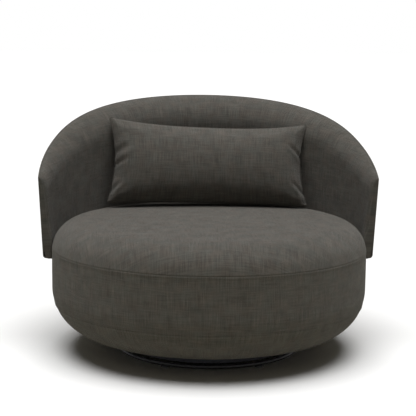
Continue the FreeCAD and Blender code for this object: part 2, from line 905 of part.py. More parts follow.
def cover_wire(turn):
    """Section of the inner cover: a thin band over the foam's roll and down its inner face."""
    skin = number("cover_thickness")
    foam = pad_section(turn, skin)
    face = pad_section(turn, 0)
    outer = cone_at(foam["rim"], skin + number("foam_gap"))
    rim = section_point(turn, outer, foam["rim"])
    under_rim = section_point(turn, outer, foam["rim"] - skin)
    face_foot = section_point(turn, face["inner_foot"], face["foot_height"])
    foam_foot = section_point(turn, foam["inner_foot"], foam["foot_height"])
    face_roll = section_point(turn, face["inner_top"], face["roll_foot"])
    foam_roll = section_point(turn, foam["inner_top"], foam["roll_foot"])
    return Part.Wire(Part.__sortEdges__([
        roll_arc(turn, outer, face, 0),
        line(face_roll, face_foot),
        line(face_foot, foam_foot),
        line(foam_foot, foam_roll),
        roll_arc(turn, outer, foam, skin),
        line(under_rim, rim),
    ]))


def lofted(label, shape):
    """A piece whose shape is a loft of upright sections."""
    feature = doc.addObject("Part::Feature", label)
    feature.Label = label
    feature.Shape = shape
    return feature


HALF_TURNS = [0, 8, 20, 35, 52, 70]
WHOLE_TURNS = HALF_TURNS + [90] + [180 - turn for turn in reversed(HALF_TURNS)]
SECTION_TURNS = [math.radians(turn) for turn in WHOLE_TURNS]
FOAM_SPLITS = (50, 130)


def shell_foams():
    """The shell's foam in three pieces: right arm, back and left arm."""
    whole = Part.makeLoft([foam_wire(turn) for turn in SECTION_TURNS], True, False)
    reach = 3 * number("drum_radius")
    edges = (0,) + FOAM_SPLITS + (180,)
    pieces = []
    for name, first, last in zip(("arm_foam_right", "back_foam", "arm_foam_left"), edges, edges[1:]):
        corners = [Vector(0, 0, 0)]
        for angle in (first, (first + last) / 2, last):
            corners.append(section_point(math.radians(angle), reach, 0))
        wedge = Part.Face(Part.makePolygon(corners + corners[:1])).extrude(Vector(0, 0, reach))
        pieces.append(lofted(name, whole.common(wedge).Solids[0]))
    return pieces


def inner_cover():
    sections = [cover_wire(turn) for turn in SECTION_TURNS]
    return lofted("inner_cover", Part.makeLoft(sections, True, False))


def arm_facing(label, turn):
    """Fabric facing that closes the front end of an arm."""
    face = pad_section(turn, 0)
    skin = number("cover_thickness")
    bottom = number("rail_top")
    outer_foot = section_point(turn, cone_at(bottom, skin), bottom)
    outer = section_point(turn, cone_at(face["rim"], skin), face["rim"])
    roll_foot = section_point(turn, face["inner_top"], face["roll_foot"])
    inner_foot = section_point(turn, face["inner_foot"], face["foot_height"])
    nose = nose_arc(turn, face)
    nose_foot = section_point(turn, number("drum_radius") - number("nose_radius") + face["nose"],
                              number("nose_height"))
    wire = Part.Wire(Part.__sortEdges__([
        line(outer_foot, outer),
        roll_arc(turn, cone_at(face["rim"], skin), face, 0),
        line(roll_foot, inner_foot),
        nose,
        line(nose_foot, outer_foot),
    ]))
    return lofted(label, Part.Face(wire).extrude(Vector(0, -skin, 0)))


def half_ring(label, corners):
    """A ring about the axis, kept only behind the arm fronts."""
    ring = turned(f"{label}_ring", corners)
    keep = doc.addObject("Part::Box", f"{label}_keep")
    keep.setExpression("Length", bound("4 * drum_radius"))
    keep.setExpression("Width", bound("4 * drum_radius"))
    keep.setExpression("Height", bound("4 * drum_radius"))
    keep.setExpression(".Placement.Base.x", bound("-2 * drum_radius"))
    keep.setExpression(".Placement.Base.y", bound("cover_thickness"))
    half = doc.addObject("Part::Common", label)
    half.Base = ring
    half.Tool = keep
    half.Label = label
    return half


def shell_rail():
    """Bent wooden rail inside the bottom of the board, close round the drum."""
    bottom = "(shell_bottom + board_foot_inset)"
    return half_ring("shell_rail", [
        ("drum_radius + drum_clearance", bottom),
        (cone_radius(bottom, BOARD_INNER), bottom),
        (cone_radius("rail_top", BOARD_INNER), "rail_top"),
        ("drum_radius + drum_clearance", "rail_top"),
    ])


def bottom_strip():
    """Fabric strip that closes the shell's bottom edge."""
    top = "(shell_bottom + cover_thickness)"
    return half_ring("bottom_strip", [
        ("drum_radius + drum_clearance", "shell_bottom"),
        (cone_radius("shell_bottom", "cover_thickness"), "shell_bottom"),
        (cone_radius(top, "cover_thickness"), top),
        ("drum_radius + drum_clearance", top),
    ])


def radial_pins(label, stages):
    """Round pins that point outwards at the shell bolts' places, each a stack of stages."""
    pins = []
    for index in range(SHELL_BOLTS):
        turn = (index - (SHELL_BOLTS - 1) / 2) * number("shell_bolt_spread")
        level = Rotation(Vector(1, 0, 0), -90)
        heading = Rotation(Vector(0, 0, 1), turn)
        outward = heading.multVec(Vector(0, 1, 0))
        stack = []
        for start, finish, radius in stages:
            pin = doc.addObject("Part::Cylinder", f"{label}_pin")
            pin.setExpression("Radius", bound(radius))
            pin.setExpression("Height", bound(f"{finish} - ({start})"))
            place = outward * value(start) + Vector(0, 0, number("shell_bolt_height"))
            pin.Placement = Placement(place, heading * level)
            stack.append(pin)
        if len(stack) == 1:
            pins.append(stack[0])
            continue
        joined = doc.addObject("Part::MultiFuse", f"{label}_bolt")
        joined.Shapes = stack
        pins.append(joined)
    bundle = doc.addObject("Part::Compound", label)
    bundle.Label = label
    bundle.Links = pins
    return bundle


def shell_fixings():
    """Bolts, spacers and washers that hold the shell to the drum's hoop, and their holes."""
    board_face = cone_radius("shell_bolt_height", BOARD_OUTER)
    washer_face = f"({HOOP_INNER} - washer_gap)"
    head_face = f"({washer_face} - washer_thickness)"
    rail_face = "(drum_radius + drum_clearance - washer_gap)"
    bolts = radial_pins("shell_bolts", [
        (f"{head_face} - bolt_head_height", head_face, "bolt_head"),
        (head_face, f"{board_face} - bolt_stop", "bolt_shank"),
    ])
    washer_holes = radial_pins("washer_holes", [(f"{head_face} - drill_overrun", HOOP_INNER, "bolt_shank")])
    washers = radial_pins("washer_blanks", [(head_face, washer_face, "washer_radius")])
    spacer_holes = radial_pins("spacer_holes", [(HOOP_OUTER, rail_face, "bolt_shank")])
    spacers = radial_pins("spacer_blanks", [(f"{HOOP_OUTER} + washer_gap", rail_face, "spacer_radius")])
    notch_start = f"{HOOP_INNER} - head_notch_depth"
    drill_start = f"{HOOP_INNER} - drill_overrun"
    pocket_start = f"{HOOP_OUTER} - drill_overrun"
    notch = radial_pins("head_notch", [(notch_start, f"{HOOP_INNER} + drill_overrun", "spacer_radius")])
    drill = radial_pins("bolt_drill", [(drill_start, "shell_radius + drill_overrun", "bolt_shank")])
    pocket = radial_pins("spacer_drill", [(pocket_start, "drum_radius + drill_overrun", "spacer_radius")])
    shell_washers = cut("shell_washers", washers, washer_holes)
    shell_spacers = cut("shell_spacers", spacers, spacer_holes)
    return bolts, shell_washers, shell_spacers, notch, drill, pocket


def edge_welt():
    """Piping round the shell's outside edge, along the rim, the arm fronts and the bottom."""
    body = shell_wall("edge_welt", "0", "-welt_stand", "0", "0", "0")
    inside = new_sketch(body, "YZ_Plane")
    rim_outline(inside, "welt_width", "welt_width", "welt_width")
    bore(body, inside)
    return body


# Loose lumbar pillow

def pillow_section(across, inset):
    """Upright lens section of the pillow at a fraction of its half width from the middle."""
    swell = math.sqrt(1 - across ** 4)
    edge = number("pillow_edge_thickness")
    thickness = edge + (number("pillow_thickness") - edge) * swell - 2 * inset
    corner = number("pillow_corner_height")
    dip = (corner - number("pillow_middle_height")) * (1 - across ** 2)
    place = across * (number("pillow_width") / 2 - inset)
    low = Vector(place, 0, inset + dip * number("pillow_bottom_share"))
    high = Vector(place, 0, corner - inset - dip * (1 - number("pillow_bottom_share")))
    belly = (low + high) / 2
    belly.z -= number("pillow_sag") * (corner - dip)
    front = belly - Vector(0, thickness / 2, 0)
    back = belly + Vector(0, thickness / 2, 0)
    return Part.Wire([Part.Arc(high, front, low).toShape(), Part.Arc(low, back, high).toShape()])


PILLOW_STATIONS = (-1, -0.93, -0.75, -0.45, 0, 0.45, 0.75, 0.93, 1)


def pillow_solid(inset):
    """Crowned pillow whose sides are drawn in between the corners."""
    solid = Part.makeLoft([pillow_section(station, inset) for station in PILLOW_STATIONS], True, False)
    half_height = number("pillow_corner_height") / 2
    draw = number("pillow_side_draw")
    radius = (half_height ** 2 + draw ** 2) / (2 * draw)
    reach = number("pillow_width") / 2 - draw - inset + radius
    for side in (-1, 1):
        start = Vector(side * reach, -number("pillow_thickness"), half_height)
        tool = Part.makeCylinder(radius, 2 * number("pillow_thickness"), start, Vector(0, 1, 0))
        solid = solid.cut(tool)
    return solid.Solids[0]


def pillow():
    outer = pillow_solid(0)
    inner = pillow_solid(number("pillow_cover"))
    return lofted("pillow_cover", outer.cut(inner)), lofted("pillow_fill", inner)


# Build every piece

cage = [bearing_cage(), bearing_balls()]
base = [base_ring(), base_cross(), glides(), hub_plate()]
base.append(race("lower_race", LOWER_RACE, GAP_BOTTOM, -1, "lower_rivet_circle"))
base.append(lower_rivets())
riveted = base[-3:]

bolts, washers, spacers, head_notch, bolt_drill, spacer_drill = shell_fixings()
seat = [race("upper_race", UPPER_RACE, PLATE_BOTTOM, 1, "upper_rivet_circle"), upper_rivets()]
seat += [swivel_plate(), plinth_disc(), plinth_ring(), dust_cover(), base_panel(), plate_bolts(), tee_nuts()]
ribs = frame_ribs()
seat += [ribs, lower_liner()]
seat.append(cut("top_ring", top_ring(), head_notch))
seat += [webbing("webbing_lengthwise", "frame_top", False)]
seat += [webbing("webbing_crosswise", "frame_top + strap_thickness", True)]
seat += [seat_foam(), seat_top_cover(), seat_lower_cover()]
seat.append(cut("drum_hoop", drum_hoop(), bolt_drill))
seat += quarters("side_foam", cut("side_foam_ring", side_foam(), spacer_drill))
seat.append(cut("seat_band_cover", seat_band_cover(), spacer_drill))
seat.append(cut("shell_rail", shell_rail(), bolt_drill))
seat.append(cut("shell_board", shell_board(), bolt_drill))
seat += [bolts, washers, spacers]
seat += shell_foams()
seat += [inner_cover(), outer_cover(), edge_welt(), bottom_strip()]
seat += [arm_facing("arm_facing_right", 0), arm_facing("arm_facing_left", math.pi)]

loose = list(pillow())
for piece in loose:
    piece.Placement = Placement(Vector(0, 0, 0), Rotation(Vector(1, 0, 0), -number("pillow_lean")))
    piece.setExpression(".Placement.Base.y", bound("axis_y + pillow_back"))
    piece.setExpression(".Placement.Base.z", bound("pillow_bottom"))

upright = Vector(0, 0, 1)
for piece in riveted:
    piece.Placement = Placement(Vector(0, 0, 0), Rotation(upright, number("lower_rivet_turn")))
ribs.Placement = Placement(Vector(0, 0, 0), Rotation(upright, number("rib_turn")))
for piece in base + cage + seat:
    piece.setExpression(".Placement.Base.y", bound("axis_y"))
doc.recompute()

# Check every object and every piece before writing anything

for item in doc.Objects:
    if "Invalid" in item.State or "Error" in item.State:
        raise ValueError(f"{item.Label} failed: {item.State}")
pieces = base + cage + seat + loose
labels = [piece.Label for piece in pieces]
if len(set(labels)) != len(labels):
    raise ValueError("two pieces share a label")
for piece in pieces:
    if piece.Shape.isNull() or not piece.Shape.isValid():
        raise ValueError(f"{piece.Label} has no valid shape")

os.makedirs("parts", exist_ok=True)
box = FreeCAD.BoundBox()
for piece in pieces:
    piece.Shape.exportStep(f"parts/{piece.Label}.step")
    box.add(piece.Shape.BoundBox)
    print(f"{piece.Label}: {len(piece.Shape.Solids)} solids, {piece.Shape.Volume / 1000:.1f} cm3")
print(f"{len(pieces)} pieces")
print(f"x {box.XMin:.1f} to {box.XMax:.1f}")
print(f"y {box.YMin:.1f} to {box.YMax:.1f}")
print(f"z {box.ZMin:.1f} to {box.ZMax:.1f}")
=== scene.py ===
import math

import bmesh
import bpy
import numpy as np
from mathutils import Matrix, Vector, noise


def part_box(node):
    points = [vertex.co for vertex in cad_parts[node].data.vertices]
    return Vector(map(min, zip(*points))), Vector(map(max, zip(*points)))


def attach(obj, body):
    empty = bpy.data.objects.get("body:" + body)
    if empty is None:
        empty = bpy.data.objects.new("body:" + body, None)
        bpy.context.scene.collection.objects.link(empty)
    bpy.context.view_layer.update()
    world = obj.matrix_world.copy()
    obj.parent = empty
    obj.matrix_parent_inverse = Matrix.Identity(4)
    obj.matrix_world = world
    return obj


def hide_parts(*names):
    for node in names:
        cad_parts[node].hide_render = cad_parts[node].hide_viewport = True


# A round swivel cuddle chair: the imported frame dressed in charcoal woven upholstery.
# Metres, +Z up, the front of the chair faces -Y, the floor is z = 0.

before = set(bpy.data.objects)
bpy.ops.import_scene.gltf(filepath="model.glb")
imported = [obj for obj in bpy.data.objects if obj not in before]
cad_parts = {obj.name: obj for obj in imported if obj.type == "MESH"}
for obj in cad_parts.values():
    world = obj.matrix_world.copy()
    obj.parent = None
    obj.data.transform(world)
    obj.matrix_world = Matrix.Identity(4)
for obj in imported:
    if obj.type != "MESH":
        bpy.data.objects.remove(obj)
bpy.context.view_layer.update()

# The swivel axis, and the drum's own sizes, from the frame
band_low, band_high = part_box("seat_band_cover")
top_low, top_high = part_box("seat_top_cover")
AXIS_Y = (band_low.y + band_high.y) / 2
DRUM_RADIUS = (band_high.x - band_low.x) / 2
UPPER_SEAM = top_low.z
LOWER_SEAM = band_low.z
CROWN_TOP = top_high.z
NOSE_RADIUS = 0.095
NOSE_HEIGHT = 0.329
NOSE_CENTRE = DRUM_RADIUS - NOSE_RADIUS
CROWN_RADIUS = 7.18
CURVE_RADIUS = 0.151
CURVE_HEIGHT = 0.209
CURVE_CENTRE = DRUM_RADIUS - CURVE_RADIUS
PANEL_RADIUS = 0.386
SIDE_FOAM = 0.015
COVER = 0.0025

# The barrel shell: a cone cut to a rim that rises from the arm fronts to the back
SHELL_RADIUS = 0.5383
SHELL_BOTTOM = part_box("outer_cover")[0].z
SHELL_LEAN = math.tan(math.radians(3))
SHELL_WALL = 0.0115
ARM_HEIGHT = 0.559
RIM_KNEE_BACK = 0.250
RIM_KNEE_HEIGHT = 0.6865
RIM_BACK = 0.600
RIM_BACK_HEIGHT = 0.807
RIM_ARC = 1.400
ARM_CORNER = 0.015
EDGE_ROUND = 0.012
PAD_FRONT = 0.010
PAD_BACK = 0.095
PAD_SWELL = 0.85
ROLL_FRONT = 0.060
ROLL_BACK = 0.110
RAIL_TOP = 0.329
PAD_FOOT_INSET = 0.003
DRUM_CLEARANCE = 0.0015
WELT_RADIUS = 0.003
WELT_SUNK = 0.0006
WELT_ARM_DROP = 1.25 * WELT_RADIUS
WELT_RIM_DROP = 1.12 * WELT_RADIUS

# The loose pillow, drawn upright, then turned a little aside and leaned back a little more than the frame's
PILLOW_WIDTH = 0.696
PILLOW_HEIGHT = 0.304
PILLOW_MIDDLE = 0.272
PILLOW_THICKNESS = 0.142
PILLOW_SIDE_DRAW = 0.024
PILLOW_TOP_SHARE = 0.78
PILLOW_BOTTOM_SHARE = 0.22
PILLOW_SKEW = 0.018
PILLOW_EAR = 0.006
PILLOW_EAR_REACH = 0.05
PILLOW_MIDDLE_POWER = 2.6
PILLOW_SIDE_POWER = 3.4
PILLOW_PUFF_POWER = 0.52
PILLOW_PUFF_SHARE = 0.43
PILLOW_PUFF_LIMIT = 0.009
PILLOW_SEAM_HALF = 0.001
PILLOW_CORD = 0.0016
PILLOW_SPOT = (0.0056, AXIS_Y + 0.240, 0.4335)
PILLOW_LEAN = math.radians(18.5)
PILLOW_TURN = math.radians(1.05)
PILLOW_PLACE = (Matrix.Translation(PILLOW_SPOT)
                @ Matrix.Rotation(-PILLOW_LEAN, 4, "X")
                @ Matrix.Rotation(PILLOW_TURN, 4, "Y"))

# Steps round the drum, and a distance that counts as far from any seam or edge
ROUND_STEPS = 360
FAR = 1.0


# Mesh building

def skin(name, places, cloth, ring=False, loop=False):
    """A smooth mesh through places[i, j]. cloth[i, j] is each point's place on the flat cloth, with one
    row or column more where the mesh closes on itself."""
    rows, columns = places.shape[:2]
    i, j = np.meshgrid(
        np.arange(rows if ring else rows - 1),
        np.arange(columns if loop else columns - 1),
        indexing="ij",
    )
    i, j = i.ravel(), j.ravel()
    corners = [(i, j), (i + 1, j), (i + 1, j + 1), (i, j + 1)]
    faces = np.stack([(a % rows) * columns + b % columns for a, b in corners], 1)
    grain = np.stack([cloth[a, b] for a, b in corners], 1).reshape(-1, 2)
    mesh = bpy.data.meshes.new(name)
    mesh.from_pydata(places.reshape(-1, 3).tolist(), [], faces.tolist())
    store_grain(mesh, grain)
    piece = bpy.data.objects.new(name, mesh)
    bpy.context.scene.collection.objects.link(piece)
    return clean(piece)


def store_grain(mesh, grain):
    """Keep each face corner's place on the cloth, for the weave to follow."""
    flat = np.zeros((len(mesh.loops), 3), np.float32)
    flat[:, :2] = grain
    attribute = mesh.attributes.new("grain", "FLOAT_VECTOR", "CORNER")
    attribute.data.foreach_set("vector", flat.ravel())


def clean(piece, sharp=50):
    """Merge the points that meet, face the surface outwards and shade it smooth up to a sharp angle."""
    mesh = piece.data
    work = bmesh.new()
    work.from_mesh(mesh)
    bmesh.ops.remove_doubles(work, verts=work.verts, dist=2e-6)
    bmesh.ops.dissolve_degenerate(work, edges=work.edges, dist=1e-7)
    bmesh.ops.recalc_face_normals(work, faces=work.faces)
    work.to_mesh(mesh)
    work.free()
    mesh.shade_smooth()
    mesh.set_sharp_from_angle(angle=math.radians(sharp))
    return piece


def dress(piece, body, finish, slot, *nodes):
    """Give a piece its finish, let it ride on its body and stand for the frame's plain nodes."""
    piece.data.materials.append(finish)
    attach(piece, body)
    if nodes:
        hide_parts(*nodes)
    return piece


def about_axis(radius, angle, height):
    """A point at an angle about the swivel axis, 0 at +X and 90 degrees at the back."""
    return (radius * math.cos(angle), AXIS_Y + radius * math.sin(angle), height)


def uneven(x, y, z, size):
    """A smooth, repeatable unevenness from -1 to 1 over waves of about one size."""
    return noise.noise(Vector((x / size, y / size, z / size)))


# Drum upholstery

CROWN_LENGTH = CROWN_RADIUS * math.asin(NOSE_CENTRE / CROWN_RADIUS)
NOSE_LENGTH = NOSE_RADIUS * math.pi / 2
SIDE_LENGTH = NOSE_HEIGHT - CURVE_HEIGHT
CURVE_TURN = math.acos((PANEL_RADIUS - CURVE_CENTRE) / CURVE_RADIUS)
DRUM_LENGTH = CROWN_LENGTH + NOSE_LENGTH + SIDE_LENGTH + CURVE_RADIUS * CURVE_TURN
UPPER_SEAM_LENGTH = CROWN_LENGTH + NOSE_RADIUS * math.acos((UPPER_SEAM - NOSE_HEIGHT) / NOSE_RADIUS)
LOWER_SEAM_LENGTH = (CROWN_LENGTH + NOSE_LENGTH + SIDE_LENGTH
                     + CURVE_RADIUS * math.asin((CURVE_HEIGHT - LOWER_SEAM) / CURVE_RADIUS))


def drum_outline(length):
    """Radius, height and outward direction of the drum at a length of cloth from the crown's top."""
    if length < CROWN_LENGTH:
        turn = length / CROWN_RADIUS
        rise = CROWN_TOP - CROWN_RADIUS
        out, up = math.sin(turn), math.cos(turn)
        return CROWN_RADIUS * out, rise + CROWN_RADIUS * up, out, up
    length -= CROWN_LENGTH
    if length < NOSE_LENGTH:
        turn = length / NOSE_RADIUS
        out, up = math.sin(turn), math.cos(turn)
        return NOSE_CENTRE + NOSE_RADIUS * out, NOSE_HEIGHT + NOSE_RADIUS * up, out, up
    length -= NOSE_LENGTH
    if length < SIDE_LENGTH:
        return DRUM_RADIUS, NOSE_HEIGHT - length, 1, 0
    turn = (length - SIDE_LENGTH) / CURVE_RADIUS
    out, up = math.cos(turn), -math.sin(turn)
    return CURVE_CENTRE + CURVE_RADIUS * out, CURVE_HEIGHT + CURVE_RADIUS * up, out, up


# Relief beside a flat seam, as depth or height, place and width: its groove, the ridge and the slight pull
GROOVE_DEPTH, GROOVE_WIDTH = 0.0006, 0.0011
RIDGE_PLACE, RIDGE_WIDTH = 0.0042, 0.0028
PULL_DEPTH, PULL_PLACE, PULL_WIDTH = 0.0005, 0.016, 0.009
# Unevenness of the drum's cloth, and the puckers that fade away from a seam
WAVE_HEIGHT, WAVE_SIZE = 0.0008, 0.11
PUCKER_HEIGHT, PUCKER_SIZE, PUCKER_FADE = 0.0007, 0.017, 0.014


def seam_relief(distance, ridge):
    """How far cloth stands out near a flat seam: a fine groove, a ridge over the turning, a slight pull."""
    groove = -GROOVE_DEPTH * math.exp(-(distance / GROOVE_WIDTH) ** 2)
    shoulder = ridge * math.exp(-((distance - RIDGE_PLACE) / RIDGE_WIDTH) ** 2)
    pull = -PULL_DEPTH * math.exp(-((distance - PULL_PLACE) / PULL_WIDTH) ** 2)
    return groove + shoulder + pull


# Distances from a seam at which a panel has points, and their spacing elsewhere
SEAM_STEPS = (0.0004, 0.0008, 0.0013, 0.0019, 0.0026, 0.0034, 0.0043, 0.0054, 0.0068, 0.0086,
              0.011, 0.014, 0.018)
PLAIN_STEP = 0.007


def spaced(start, finish, fine_start, fine_finish):
    """Lengths from start to finish, close together beside the ends that have a seam."""
    steps = {start, finish}
    if fine_start:
        steps.update(start + step for step in SEAM_STEPS)
    if fine_finish:
        steps.update(finish - step for step in SEAM_STEPS)
    first = start + (SEAM_STEPS[-1] if fine_start else 0)
    last = finish - (SEAM_STEPS[-1] if fine_finish else 0)
    count = max(2, round((last - first) / PLAIN_STEP))
    steps.update(first + (last - first) * index / count for index in range(count + 1))
    return sorted(steps)


def drum_panel(name, start, finish, seam_start, seam_finish, back, radial_cloth):
    """A closed upholstered panel of the drum between two lengths of cloth, its back set in by a depth.
    A seam is given by the height of the ridge beside it, and 0 is no seam."""
    lengths = spaced(start, finish, seam_start, seam_finish)
    inner = [finish, start]
    columns = len(lengths) + len(inner)
    places = np.zeros((ROUND_STEPS, columns, 3))
    cloth = np.zeros((ROUND_STEPS + 1, columns + 1, 2))
    for step in range(ROUND_STEPS + 1):
        angle = math.pi / 2 + 2 * math.pi * step / ROUND_STEPS
        for column, length in enumerate(lengths + inner):
            radius, height, out, up = drum_outline(length)
            lift = -back
            if column < len(lengths):
                lift = 0
                x, y, z = about_axis(radius, angle, height)
                from_seam = FAR
                if seam_start:
                    lift += seam_relief(length - start, seam_start)
                    from_seam = min(from_seam, length - start)
                if seam_finish:
                    lift += seam_relief(finish - length, seam_finish)
                    from_seam = min(from_seam, finish - length)
                lift += WAVE_HEIGHT * uneven(x, y, z, WAVE_SIZE)
                lift += PUCKER_HEIGHT * math.exp(-from_seam / PUCKER_FADE) * uneven(x, y, z, PUCKER_SIZE)
            if step < ROUND_STEPS:
                places[step, column] = about_axis(max(0, radius + out * lift), angle, height + up * lift)
            if radial_cloth:
                aside = math.cos(angle)
                reach = radius + (length - radius) * aside ** 2
                cloth[step, column] = (reach * aside, length * math.sin(angle))
            else:
                cloth[step, column] = (angle * DRUM_RADIUS, length)
    cloth[:, columns] = cloth[:, 0]
    return skin(name, places, cloth, ring=True, loop=True)


# Barrel shell upholstery

def cone(height, inset=0.0):
    """Radius of the shell's outside at a height, less an inset. Its lower edge is rounded inwards."""
    below = min(EDGE_ROUND, max(0, SHELL_BOTTOM + EDGE_ROUND - height))
    turned_in = EDGE_ROUND - math.sqrt(EDGE_ROUND ** 2 - below ** 2)
    return SHELL_RADIUS + (height - SHELL_BOTTOM) * SHELL_LEAN - turned_in - inset


RIM_CHORD = Vector((RIM_BACK - RIM_KNEE_BACK, RIM_BACK_HEIGHT - RIM_KNEE_HEIGHT))
RIM_RISE = math.sqrt(RIM_ARC ** 2 - (RIM_CHORD.length / 2) ** 2)
RIM_CENTRE = (Vector((RIM_KNEE_BACK + RIM_BACK, RIM_KNEE_HEIGHT + RIM_BACK_HEIGHT)) / 2
              - Vector((-RIM_CHORD.y, RIM_CHORD.x)).normalized() * RIM_RISE)


def rim_height(back):
    """Height of the rim at a distance behind the axis: a straight rise, then a long arc over the back."""
    if back < RIM_KNEE_BACK:
        return ARM_HEIGHT + (RIM_KNEE_HEIGHT - ARM_HEIGHT) * back / RIM_KNEE_BACK
    return RIM_CENTRE.y + math.sqrt(RIM_ARC ** 2 - (back - RIM_CENTRE.x) ** 2)


def rim_at(angle):
    """Rim height at an angle about the axis."""
    height = ARM_HEIGHT
    for unused_round in range(30):
        height = rim_height(cone(height) * math.sin(angle))
    return height


# Points round the padding's foot over the seat's shoulder, and over the rounding of the lower edge
SHOULDER_STEPS = 5
EDGE_STEPS = 5
# The dip beside the piping, and the unevenness of the padding and of the outside cover
WELT_DIP, WELT_DIP_WIDTH = 0.0016, 0.004
PAD_WAVE_HEIGHT, PAD_WAVE_SIZE = 0.0016, 0.16
PAD_RIPPLE_HEIGHT, PAD_RIPPLE_SIZE = 0.0006, 0.05
BACK_WAVE_HEIGHT, BACK_WAVE_SIZE, BACK_WAVE_EASE = 0.0011, 0.14, 0.03
# How the padding is rounded at the arm's front, less beside the rail at its foot, and where that changes
FRONT_BULGE = 0.0035
FRONT_ROUND = 0.020
FOOT_ROUND = 0.004
FOOT_BAND = 0.01
FOOT_BLEND = 0.06
FACING_DEPTH = 0.0025


def pad_outline(angle, steps=22):
    """Section of the shell's padding: over the roll, down the inside face and round the seat's shoulder."""
    swell = math.sin(angle) ** PAD_SWELL if 0 < angle < math.pi else 0.0
    rim = rim_at(angle)
    depth = PAD_FRONT + (PAD_BACK - PAD_FRONT) * swell
    roll = ROLL_FRONT + (ROLL_BACK - ROLL_FRONT) * swell
    roll_foot = rim - roll
    inner_top = cone(roll_foot, SHELL_WALL + depth)
    nose = NOSE_RADIUS + DRUM_CLEARANCE
    foot_height = NOSE_HEIGHT
    for unused_round in range(20):
        inner_foot = min(inner_top - (roll_foot - foot_height) * SHELL_LEAN, DRUM_RADIUS - PAD_FOOT_INSET)
        foot_height = NOSE_HEIGHT + math.sqrt(nose ** 2 - (inner_foot - NOSE_CENTRE) ** 2)
    outer = cone(rim, COVER)
    points = []
    for index in range(steps + 1):
        turn = math.pi / 2 * index / steps
        dip = WELT_DIP * math.exp(-(index / steps * roll / WELT_DIP_WIDTH) ** 2)
        points.append((outer - (outer - inner_top) * math.sin(turn), roll_foot + roll * math.cos(turn) - dip))
    for index in range(1, steps + 1):
        share = index / steps
        down = roll_foot + (foot_height - roll_foot) * share
        points.append((inner_top + (inner_foot - inner_top) * share, down))
    start = math.acos((inner_foot - NOSE_CENTRE) / nose)
    for index in range(1, SHOULDER_STEPS + 1):
        turn = start * (1 - index / SHOULDER_STEPS)
        points.append((NOSE_CENTRE + nose * math.cos(turn), NOSE_HEIGHT + nose * math.sin(turn)))
    return points


def pad_stations():
    """Angle about the axis, forward shift and distance from the arm's front for the padding's sections."""
    tips = [0, 0.0002, 0.0006, 0.0012, 0.002, 0.003, 0.004, 0.005]
    tips += [0.0058, 0.0062, 0.0075, 0.0095, 0.012, 0.0155]
    half = []
    for tip in tips + [FRONT_ROUND]:
        along = tip - FRONT_BULGE
        half.append((max(0, along) / SHELL_RADIUS, min(0, along), tip))
    first = half[-1][0]
    count = 96
    for index in range(1, count + 1):
        half.append((first + (math.pi / 2 - first) * index / count, 0, FAR))
    return half + [(math.pi - angle, shift, tip) for angle, shift, tip in reversed(half[:-1])]


def front_share(tip, height):
    """Share of the padding's depth at a distance from the arm's front. Above the rail it rounds more."""
    rise = min(1, max(0, (height - RAIL_TOP - FOOT_BAND) / FOOT_BLEND))
    reach = FOOT_ROUND + (FRONT_ROUND - FOOT_ROUND) * rise * rise * (3 - 2 * rise)
    return math.sqrt(1 - max(0, 1 - tip / reach) ** 2)


def shell_pad():
    """The shell's padding and its cover, from one arm front round the back to the other."""
    rows = []
    grain = []
    for angle, shift, tip in pad_stations():
        outline = pad_outline(angle)
        facing = min(angle, math.pi - angle) * SHELL_RADIUS < FACING_DEPTH
        bottom = SHELL_BOTTOM + COVER if facing else RAIL_TOP
        shown = len(outline)
        rim = rim_at(angle)
        outline.append((outline[-1][0], bottom))
        for step in range(EDGE_STEPS + 1):
            height = bottom + EDGE_ROUND * step / EDGE_STEPS
            outline.append((cone(height, COVER), height))
        row = []
        cloth = []
        length = 0
        for index, (radius, height) in enumerate(outline):
            if index:
                length += math.dist(outline[index - 1], outline[index])
            outside = cone(height, COVER)
            at = outside - (outside - radius) * front_share(tip, height)
            x, y, z = about_axis(at, angle, height)
            if 0 < index < shown - SHOULDER_STEPS:
                ease = min(1, index / 6) * min(1, (shown - index) / 8)
                at += ease * (PAD_WAVE_HEIGHT * uneven(x, y, z, PAD_WAVE_SIZE)
                              + PAD_RIPPLE_HEIGHT * uneven(x, y, z, PAD_RIPPLE_SIZE))
                x, y, z = about_axis(at, angle, height)
            row.append((x, y + shift, z))
            cloth.append((angle * SHELL_RADIUS, length - rim))
        cloth.append(cloth[0])
        rows.append(row)
        grain.append(cloth)
    places = np.array(rows)
    cloth = np.array(grain)
    return skin("shell_pad", places, cloth, loop=True)


